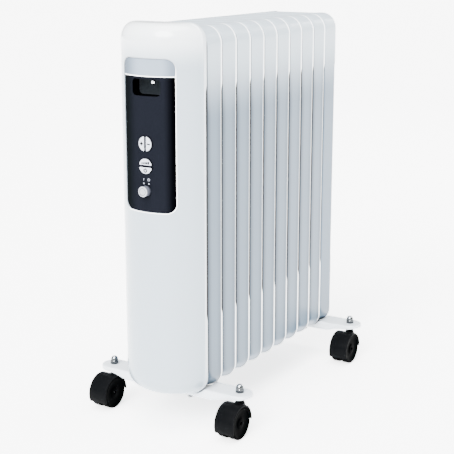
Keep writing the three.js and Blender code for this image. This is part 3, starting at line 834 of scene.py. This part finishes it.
def rear_cover():
    """Pressed pan behind the front cover, with a port for the lower gallery."""
    surface = pan(HOUSING_Z, 7.4, cover_bend, 0, channels=False, chimney=False)
    mesh = face_front(mesh_from("rear_cover", surface))
    obj = bake(sheet(new_object("rear_cover_pressing", mesh), FIN_SHEET, even=False), 45)
    port = circle(0, GALLERY_Z[0], GALLERY_RADIUS + 6, 40)
    carve(obj, [prism(port, -5, 5)])
    return bake(obj, 40)


place(rear_cover(), "foot_paint", "fin_paint", "heater", ["rear_cover"], (0, -7.7, 0))


# ---- control panel and display window ----
def skin_plate(sink, thickness, gap, round_by):
    """The whole panel as one closed plate under the skin, with a rounded edge."""
    x1, z0, z1 = PANEL_X - gap, PANEL_Z[0] + gap, PANEL_Z[1] - gap
    radius = PANEL_CORNER - gap
    xs = spread(-x1 + radius, x1 - radius, 28)
    zs = spread(z0 + radius, z1 - radius, 60)
    loop = rounded_loop(-x1, x1, z0, z1, radius, xs, zs, 12)

    def at(deep):
        return lambda x, z: skin_y(x, z) + sink + deep

    rows = [inset_row(loop, radius, radius, at(0))]
    rows += [inset_row(loop, radius, inset, at(0)) for inset in (radius * 0.6, 3, round_by)]
    rows += [inset_row(loop, radius, round_by * (1 - s), at(round_by * (1 - c))) for s, c in quarter(5)[1:]]
    rows += [inset_row(loop, radius, 0, at(thickness)), inset_row(loop, radius, radius, at(thickness))]
    surface = Surface().add(rows, closed=True)
    surface.add(core_grid(xs, zs, at(0)))
    surface.add(core_grid(xs, zs, at(thickness)))
    return mesh_from("panel", surface)


def cut_level(obj, z, keep_above):
    """Cuts obj at a height, keeps one side and closes the cut."""
    shape = bmesh.new()
    shape.from_mesh(obj.data)
    geometry = shape.verts[:] + shape.edges[:] + shape.faces[:]
    cut = bmesh.ops.bisect_plane(
        shape,
        geom=geometry,
        plane_co=(0, 0, z * MM),
        plane_no=(0, 0, 1),
        clear_inner=keep_above,
        clear_outer=not keep_above,
    )
    edges = [e for e in cut["geom_cut"] if isinstance(e, bmesh.types.BMEdge)]
    bmesh.ops.holes_fill(shape, edges=edges, sides=0)
    bmesh.ops.recalc_face_normals(shape, faces=shape.faces)
    shape.to_mesh(obj.data)
    shape.free()
    return obj


def display_window():
    obj = new_object("display_window_lens", skin_plate(sink=0.75, thickness=2.2, gap=0.35, round_by=0.6))
    cut_level(obj, WINDOW_Z + 0.35, True)
    return bake(soften(obj, 0.5, 3), 40)


place(display_window(), "window", "window_grey", "heater", ["display_window"])


def window_edge_highlight():
    """A thin strip along the window's lower edge, painted bright as the edge's highlight."""
    obj = new_object("display_window_edge_highlight", skin_plate(sink=0.55, thickness=1.2, gap=0.35, round_by=0.3))
    cut_level(obj, WINDOW_Z + 0.3, True)
    cut_level(obj, WINDOW_Z + 1.9, False)
    return bake(obj, 40)


place(window_edge_highlight(), "trim", "window_grey", "heater")


def half_disc(turn, grow, corner=1.3):
    """Outline of one half of a round key as (x, z) points, with rounded ends."""
    radius, chord = KEY_RADIUS + grow, KEY_SPLIT - grow
    end = math.acos((chord + corner) / (radius - corner))
    angles = [-end + 2 * end * k / 28 for k in range(29)]
    points = [(radius * math.cos(angle), radius * math.sin(angle)) for angle in angles]
    reach = (radius - corner) * math.sin(end)
    for sign in (1, -1):
        arc = []
        for k in range(1, 7):
            angle = end + (math.pi - end) * k / 6
            arc.append((chord + corner + corner * math.cos(angle), sign * (reach + corner * math.sin(angle))))
        points += arc if sign > 0 else list(reversed(arc))
    turn += math.pi / 2
    s, c = math.sin(turn), math.cos(turn)
    return [(x * c - z * s, x * s + z * c) for x, z in points]


KEYS = {
    "plus_key": (TEMPERATURE_Z, math.pi / 2),
    "minus_key": (TEMPERATURE_Z, -math.pi / 2),
    "mode_key": (MODE_Z, 0),
    "power_key": (MODE_Z, math.pi),
}


def pocket_samples():
    """The recess: its outline's samples, and the columns and rows of its floor."""
    reach = POCKET_X - POCKET_CORNER
    xs = spread(-reach, reach, 8)
    zs = spread(POCKET_Z[0] + POCKET_CORNER, POCKET_Z[1] - POCKET_CORNER, 4)
    return rounded_loop(-POCKET_X, POCKET_X, *POCKET_Z, POCKET_CORNER, xs, zs, 8), xs, zs


def panel_recess():
    """The recess under the window: straight walls, a fillet and a flat floor."""
    loop, xs, zs = pocket_samples()
    fillet = 1.5

    def flat(y):
        return lambda x, z: y

    def ring(inset, depth):
        return inset_row(loop, POCKET_CORNER, inset, depth)

    rows = [ring(0, lambda x, z: skin_y(x, z) + PANEL_SINK + 1.2)]
    rows += [ring(0, flat(POCKET_FLOOR - 9)), ring(0, flat(POCKET_FLOOR - fillet))]
    for s, c in quarter(6)[1:]:
        rows.append(ring(fillet * (1 - c), flat(POCKET_FLOOR - fillet * (1 - s))))
    rows.append(ring(POCKET_CORNER, flat(POCKET_FLOOR)))
    surface = Surface().add(rows, closed=True)
    surface.add(core_grid(xs, zs, flat(POCKET_FLOOR)))
    tray = new_object("panel_recess", mesh_from("panel_recess", surface))
    # The tray is thickened outwards, so its floor must look forward.
    floor_face = max(tray.data.polygons, key=lambda f: f.center.y)
    if floor_face.normal.y > 0:
        tray.data.flip_normals()
    return bake(sheet(tray, 1.0), 45)


def control_panel():
    """The dark fascia, with openings for the recess, the keys and the switch."""
    obj = new_object("control_panel_fascia", skin_plate(PANEL_SINK, thickness=2.4, gap=0.5, round_by=0.8))
    cut_level(obj, WINDOW_Z - 0.15, False)
    ahead, behind = -70, -40
    loop = pocket_samples()[0]
    pocket = [(cx + dx * POCKET_CORNER, cz + dz * POCKET_CORNER) for cx, cz, dx, dz in loop]
    cutters = [prism(pocket, ahead, -30)]
    for z, turn in KEYS.values():
        cutters.append(prism([(x, z + h) for x, h in half_disc(turn, 0.75)], ahead, behind))
    cutters.append(prism(circle(0, SWITCH_Z, SWITCH_RADIUS + 0.5, 48), ahead, behind))
    carve(obj, cutters)
    return bake(soften(obj, 0.35), 40)


place(control_panel(), "panel", "panel_black", "heater", ["control_panel"])
place(panel_recess(), "pocket", "panel_black", "heater")


def key_pad(z, turn):
    """A key: straight skirt, rounded rim and a slightly crowned face."""
    outline = half_disc(turn, 0)
    mx, mz = (sum(point[i] for point in outline) / len(outline) for i in (0, 1))
    rim, crown = 0.5, 0.1
    steps = [(0, KEY_BACK), (0, KEY_FACE + crown + rim)]
    steps += [(rim * (1 - c), KEY_FACE + crown + rim * (1 - s)) for s, c in quarter(5)[1:]]
    rows = []
    for inset, y in steps:
        row = []
        for x, h in outline:
            reach = math.hypot(x - mx, h - mz)
            share = (reach - inset) / reach
            row.append((mx + (x - mx) * share, y, z + mz + (h - mz) * share))
        rows.append(row)
    last = rows[-1]
    for share in (0.7, 0.4, 0.1):
        y = KEY_FACE + crown * share**2
        rows.append([(mx + (x - mx) * share, y, z + mz + (h - z - mz) * share) for x, _, h in last])
    return solid(rows)


for name, (z, turn) in KEYS.items():
    place(build(f"{name}_pad", key_pad(z, turn), 40), "key", "key_white", name, [name])


# ---- printed marks ----
def stroke(points, width, face, closed=False):
    """A raised printed line through (x, z) points. face(x, z) gives its front Y."""
    surface = Surface()
    ends = len(points) if closed else len(points) - 1
    for i in range(ends):
        (x0, z0), (x1, z1) = points[i], points[(i + 1) % len(points)]
        length = math.hypot(x1 - x0, z1 - z0)
        nx, nz = (z0 - z1) / length * width / 2, (x1 - x0) / length * width / 2
        quad = [(x0 + nx, z0 + nz), (x1 + nx, z1 + nz), (x1 - nx, z1 - nz), (x0 - nx, z0 - nz)]
        front = [(x, face(x, z), z) for x, z in quad]
        back = [(x, face(x, z) + 0.3, z) for x, z in quad]
        surface.add([front, back], closed=True, capped=True)
    return surface


def on_key(x, z):
    return KEY_FACE - 0.12


def on_panel(x, z):
    return skin_y(x, z) + PANEL_SINK - 0.06


def on_switch(x, z):
    return SWITCH_FACE + 0.02


def mark(name, surfaces, look, body):
    joined = Surface()
    for surface in surfaces:
        base = len(joined.points)
        joined.points += surface.points
        joined.faces += [tuple(i + base for i in face) for face in surface.faces]
    slot = "panel_black" if look == "legend" else "key_white"
    place(build(name, joined, 30), look, slot, body)


def plus_sign():
    x, z = -6.5, TEMPERATURE_Z
    arms = ([(x - 3.1, z), (x + 3.1, z)], [(x, z - 3.1), (x, z + 3.1)])
    return [stroke(arm, 2.0, on_key) for arm in arms]


def minus_sign():
    return [stroke([(3.7, TEMPERATURE_Z), (9.3, TEMPERATURE_Z)], 2.1, on_key)]


def mode_bars():
    low = MODE_Z + 3.3
    return [stroke([(3 * k, low), (3 * k, low + 3.2 + 0.5 * k)], 2.3, on_key) for k in range(-2, 3)]


def power_sign():
    z = MODE_Z - 6.5
    ring = arc_points(0, z, 2.6, 125, 415, 20)
    return [stroke(ring, 1.7, on_key), stroke([(0, z + 0.5), (0, z + 3.7)], 1.5, on_key)]


def switch_legends():
    """A bar and a ring for on and off, each over a small triangle."""
    x = 4.6
    bar = [(-x, LEGEND_Z - 1.7), (-x, LEGEND_Z + 1.7)]
    ring = arc_points(x, LEGEND_Z, 1.7, 0, 342, 19)
    legends = [stroke(bar, 0.75, on_panel), stroke(ring, 0.7, on_panel, True)]
    low = LEGEND_Z - 7.1
    for middle in (-x, x):
        triangle = [(middle - 1.5, low), (middle + 1.5, low), (middle, low + 2.4)]
        rows = [[(a, on_panel(a, b) + deep, b) for a, b in triangle] for deep in (0, 0.3)]
        legends.append(solid(rows))
    return legends


mark("plus_mark", plus_sign(), "mark", "plus_key")
mark("minus_mark", minus_sign(), "mark", "minus_key")
mark("mode_mark", mode_bars(), "mark", "mode_key")
mark("power_mark", power_sign(), "mark", "power_key")
mark("switch_legends", switch_legends(), "legend", "heater")


# ---- switch, screw and bush ----
def main_switch():
    """Round push button: rounded rim, shallow dish, and the pin behind it."""
    face, radius, rim, shoulder = SWITCH_FACE, SWITCH_RADIUS, 1.4, -46
    profile = [(2.9, -34.2), (2.9, shoulder), (radius - 0.1, shoulder), (radius, shoulder + 0.2)]
    profile += [(radius, face + 1.5)]
    profile += [(radius - rim * (1 - c), face + rim * (1 - s)) for s, c in quarter(6)]
    profile += [(5.9, face + 0.15), (5.2, face + 0.75), (3, face + 1.0), (0.8, face + 1.05)]
    return turned_profile(profile, 64, 1, (0, 0, SWITCH_Z))


# A dark ring on the switch face: painted shade of its dish's groove.
switch_groove = [stroke(arc_points(0, SWITCH_Z, 5.5, 0, 345, 23), 0.7, on_switch, True)]
switch_cap = build("main_switch_cap", main_switch(), 45)
place(switch_cap, "switch", "key_white", "main_switch", ["main_switch_button"])
mark("switch_ring", switch_groove, "ring", "main_switch")


def cross_screw():
    """Pan head screw with a cross recess."""
    seat = POCKET_FLOOR - 0.3
    profile = [(1.55, seat + 8.8), (1.55, seat), (3.9, seat), (4, seat - 0.6)]
    profile += [(4 - 2.6 * (1 - c), seat - 0.6 - 1.9 * s) for s, c in quarter(7)[1:]] + [(0.5, seat - 2.6)]
    head = turned_profile(profile, 48, 1, (0, 0, SCREW_Z))
    obj = new_object("panel_screw_head", mesh_from("panel_screw", head))
    cross = []
    for wide, high in ((2.3, 0.5), (0.5, 2.3)):
        outline = [(a * wide, SCREW_Z + b * high) for a, b in ((-1, -1), (1, -1), (1, 1), (-1, 1))]
        cross.append(prism(outline, seat - 5, seat - 1.2))
    carve(obj, cross)
    return bake(obj, 35)


place(cross_screw(), "screw", "bright_steel", "heater", ["panel_screw"])


def cord_bush():
    """Bush in the housing's floor where a mains lead would leave."""
    profile = [(3.6, 58), (4.4, 57.6), (6.9, 57.7), (7.5, 58.4), (7.5, 61), (7.0, 61.7), (5.5, 61.7)]
    profile += [(5.5, 71), (3.6, 71), (3.6, 58)]
    return turned_profile(profile, 48, 2, (-18, -17.5, 0), cap=False)


place(build("cord_bush", cord_bush(), 40), "black", "black_plastic", "heater", ["cord_gland"])


# ---- feet ----
FOOT_CLEARANCE = 0.3
ARM_X = 68.6
ARM_TOP = 69.0


def foot_top(x):
    """Height of the foot's upper face: a saddle under the fins that rises to the flat arms."""
    x, radius = abs(x), CORNER + FOOT_CLEARANCE
    if x < CORE_X:
        return FIN_Z[0] - FOOT_CLEARANCE
    if x < ARM_X:
        return min(ARM_TOP, FIN_Z[0] + CORNER - math.sqrt(max(0.0, radius**2 - (x - CORE_X) ** 2)))
    return ARM_TOP


def foot_edge(x):
    """Height of the skirt's lower edge."""
    x = abs(x)
    if x < 84:
        return 54.0
    if x < 111:
        return 54 + 7 * smooth(x, 80, 113)
    return 61 + 3 * (x - 111) / (FOOT_REACH - 111)


def foot_shell():
    """The foot's upper face, its rounded edge and its skirt, as rings from the skirt inwards."""
    end = FOOT_REACH - FOOT_HALF
    xs = sorted({-CORE_X, CORE_X, -ARM_X, ARM_X, *spread(-end, end, 82)})
    samples = [(x, 0.0, -1.0) for x in xs]
    turns = [math.radians(-90 + 180 * k / 24) for k in range(1, 24)]
    samples += [(end, math.cos(t), math.sin(t)) for t in turns]
    samples += [(x, 0.0, 1.0) for x in reversed(xs)]
    samples += [(-end, -math.cos(t), -math.sin(t)) for t in turns]
    bend = 2.6
    steps = [(0, "edge", 0), (0, "edge", 0.5)]
    steps += [(bend * (1 - c), "top", bend * (1 - s)) for s, c in quarter(6)]
    steps += [(inset, "top", 0) for inset in (4, 8, 14, FOOT_HALF)]
    rows = []
    for inset, kind, drop in steps:
        row = []
        for cx, dx, dy in samples:
            x, y = cx + dx * (FOOT_HALF - inset), dy * (FOOT_HALF - inset)
            top = foot_top(x)
            if kind == "edge":
                z = foot_edge(x) + drop * (top - bend - foot_edge(x))
                z = min(z, top - bend - 0.2 + 0.1 * drop)
            else:
                z = top - drop
            row.append((x, y, z))
        rows.append(row)
    return Surface().add(rows, closed=True)


foot_object = new_object("foot_pressing", mesh_from("foot", foot_shell()))
highest = max(foot_object.data.polygons, key=lambda f: f.center.z)
if highest.normal.z < 0:
    foot_object.data.flip_normals()
bake(sheet(foot_object, 1.9), 40)
for place_name, y in FOOT_Y.items():
    obj = new_object(f"{place_name}_foot_pressing", foot_object.data)
    place(obj, "foot_paint", "fin_paint", "heater", [f"{place_name}_foot"], (0, y, 0))
bpy.data.objects.remove(foot_object)


# ---- casters ----
def acorn_nut():
    """Chrome cap nut: chamfered hexagon, groove and dome."""
    base, steps, dome = 69.3, 72, 6.05
    rows = []
    for limit, rise in ((6.6, 0), (7.6, 0.6), (7.6, 5.3), (6.4, 6.4)):
        rows.append([(x, y, base + rise) for x, y in hexagon(7.5, limit, steps)])
    rings = [(dome, 6.5), (dome, 7.6)]
    rings += [(dome * c, 7.6 + 5.9 * s) for s, c in quarter(10)[:-1]] + [(0.3, 13.5)]
    for radius, rise in rings:
        rows.append([(x, y, base + rise) for x, y in circle(0, 0, radius, steps)])
    return solid(rows)


def stud():
    """Caster stem with a collar under the foot."""
    profile = [(3.9, 50.2), (3.9, 65), (6.6, 64.95), (7, 65.3), (7, 66.3), (6.6, 66.65), (3.9, 66.7)]
    return turned_profile(profile + [(3.9, 79.5)], 32, 2)


def hood_turns():
    """Angles along the hood, from behind the axle over the top to the front lip."""
    return [math.radians(-2 + 205 * k / 56) for k in range(57)]


def round_axle(radius, turn):
    return AXLE_Y + radius * math.cos(turn), AXLE_Z + radius * math.sin(turn)


def hood_band():
    """Rounded fender over both wheels."""
    outer, inner, lip, half, corner = 30, 28.2, 27.2, 17.4, 1.7
    section = [(-half + corner * (1 - c), outer - corner * (1 - s)) for s, c in quarter(5)]
    section += [(half - corner * (1 - s), outer - corner * (1 - c)) for s, c in quarter(5)]
    section += [(half, lip), (half - 1.5, lip - 0.2), (half - 1.9, inner)]
    section += [(-half + 1.9, inner), (-half + 1.5, lip - 0.2), (-half, lip)]
    rows = [[(x, *round_axle(radius, turn)) for x, radius in section] for turn in hood_turns()]
    return solid(rows)


def hood_web():
    """Middle plate between the wheels, with a sagging lower edge."""
    half = 2.3
    outline = [round_axle(28.6, turn) for turn in hood_turns()]
    (y0, z0), (y1, z1) = outline[-1], outline[0]
    for k in range(1, 12):
        share = k / 12
        sag = 6 * math.sin(math.pi * share)
        outline.append((y0 + (y1 - y0) * share, z0 + (z1 - z0) * share - sag))
    rows = [[(x, y, z) for y, z in outline] for x in (-half, half)]
    return solid(rows)


def hood_neck():
    """Column from the fender up to the foot, with a fillet at its root."""
    profile = [(9.6, 44.5), (9.4, 47), (8.6, 50.5), (7.2, 54), (6.4, 57.5), (6.2, 60), (6.2, 63.9)]
    return turned_profile(profile + [(5.6, 64.5), (4.4, 64.6)], 40, 2)


def hood():
    obj = new_object("hood", mesh_from("hood", hood_band()))
    for extra in (hood_web(), hood_neck()):
        merge(obj, extra)
    return bake(obj, 35)


def axle():
    profile = [(1.7, -13), (2.2, -12.5), (2.2, 12.5), (1.7, 13)]
    return turned_profile(profile, 24, 0, (0, AXLE_Y, AXLE_Z))


def wheel():
    """Right-hand wheel: rounded tread, rim, dished face with a step, hub cap."""
    wide, radius, inner = 13.6, 26.5, 3
    profile = [(2.6, 0), (22, 0), (25.3, 0.2)]
    profile += [(25.3 + 1.2 * s, 0.2 + 1.2 * (1 - c)) for s, c in quarter(5)]
    profile += [(radius, wide - 2.6)]
    profile += [(radius - 2.2 * (1 - c), wide - 2.6 + 2.2 * s) for s, c in quarter(6)[1:]]
    face = [(23.2, 0.35), (22.7, 0.6), (22.3, 1.5), (21.6, 1.9), (16, 2.9), (10, 3.1), (9.4, 2.9), (9, 2.2)]
    face += [(8.4, 1.9), (3.2, 1.6), (2.9, 2.0), (2.6, 3.0)]
    profile += [(r, wide - deep) for r, deep in face] + [(2.6, 0)]
    return turned_profile([(r, inner + a) for r, a in profile], 72, 0, (0, AXLE_Y, AXLE_Z), cap=False)


def mirrored(x, y, z):
    return -x, y, z


sources = {
    "nut": (build("nut", acorn_nut(), 28), "chrome", "bright_steel"),
    "stud": (build("stud", stud()), "chrome", "bright_steel"),
    "hood": (hood(), "caster", "caster_black"),
    "axle": (build("axle", axle()), "chrome", "bright_steel"),
    "wheel_left": (build("wheel_left", wheel().turned(mirrored), 32), "tread", "wheel_black"),
    "wheel_right": (build("wheel_right", wheel(), 32), "tread", "wheel_black"),
}
for place_name, y in FOOT_Y.items():
    for side, x in (("left", -CASTER_X), ("right", CASTER_X)):
        caster = f"caster_{place_name}_{side}"
        riding = {"nut": "heater", "stud": "heater", "hood": caster, "axle": caster}
        riding["wheel_left"] = f"{caster}_left_wheel"
        riding["wheel_right"] = f"{caster}_right_wheel"
        for part, (source, look, slot) in sources.items():
            obj = new_object(f"{caster}_{part}_shape", source.data)
            place(obj, look, slot, riding[part], [f"{caster}_{part}"], (x, y, 0))
for source, _, _ in sources.values():
    bpy.data.objects.remove(source)


# ---- floor, light and camera ----
def floor():
    size, steps = 30000, 60
    rows = [[(x, y, 0) for x in spread(-size, size, steps)] for y in spread(-size, size, steps)]
    return new_object("floor", mesh_from("floor", Surface().add(rows)))


floor_object = floor()
floor_look = finish("studio_floor", (0.93, 0.93, 0.93), 0.6, 60, 0.02, 0.004, cloud=2.0, specular=0.2)
# The floor is lit from below a little, as a white product table is.
floor_shader = floor_look.node_tree.nodes["Principled BSDF"]
set_input(floor_shader, "Emission Color", (1, 1, 1, 1))
set_input(floor_shader, "Emission Strength", 3.0)
floor_object.data.materials.append(floor_look)

world = bpy.context.scene.world or bpy.data.worlds.new("World")
bpy.context.scene.world = world
world.use_nodes = True
background = world.node_tree.nodes["Background"]
set_input(background, "Color", (1, 1, 1, 1))
set_input(background, "Strength", 0.9)


def add_light(name, kind, power, towards):
    """A light that shines from the direction given by towards."""
    data = bpy.data.lights.new(name, kind)
    data.energy = power
    obj = new_object(name, data)
    obj.rotation_euler = towards.to_track_quat("Z", "Y").to_euler()
    return obj


def area_light(name, position, target, size, power):
    position = Vector(position)
    obj = add_light(name, "AREA", power, position - Vector(target))
    obj.location = position
    obj.data.shape = "RECTANGLE"
    obj.data.size, obj.data.size_y = size


def direction(azimuth, elevation):
    """Unit vector towards an angle in degrees. Azimuth 0 is the front, and it grows towards +X."""
    turn, rise = math.radians(azimuth), math.radians(elevation)
    return Vector((math.sin(turn) * math.cos(rise), -math.cos(turn) * math.cos(rise), math.sin(rise)))


def sun(name, azimuth, elevation, strength, spread_angle):
    """A far soft light."""
    obj = add_light(name, "SUN", strength, direction(azimuth, elevation))
    obj.data.angle = math.radians(spread_angle)


sun("front_sun", 6, 38, 13.0, 36)
sun("top_sun", 10, 82, 8.5, 50)
area_light("rim_light", (0.75, 3.0, 1.2), (0, 0.1, 0.35), (0.5, 1.6), 60)

# The camera looks at a point inside the heater.
AIM = Vector((0, 178.987 + HEATER_Y, 287.443))
DISTANCE = 1949.707
back = direction(31.511, 13.872)
camera_data = bpy.data.cameras.new("camera")
camera_data.sensor_width = 36
camera_data.lens = 90.69
camera_data.clip_end = 50
camera = new_object("camera", camera_data)
camera.location = (AIM + back * DISTANCE) * MM
camera.rotation_euler = back.to_track_quat("Z", "Y").to_euler()
bpy.context.scene.camera = camera

bpy.context.view_layer.update()
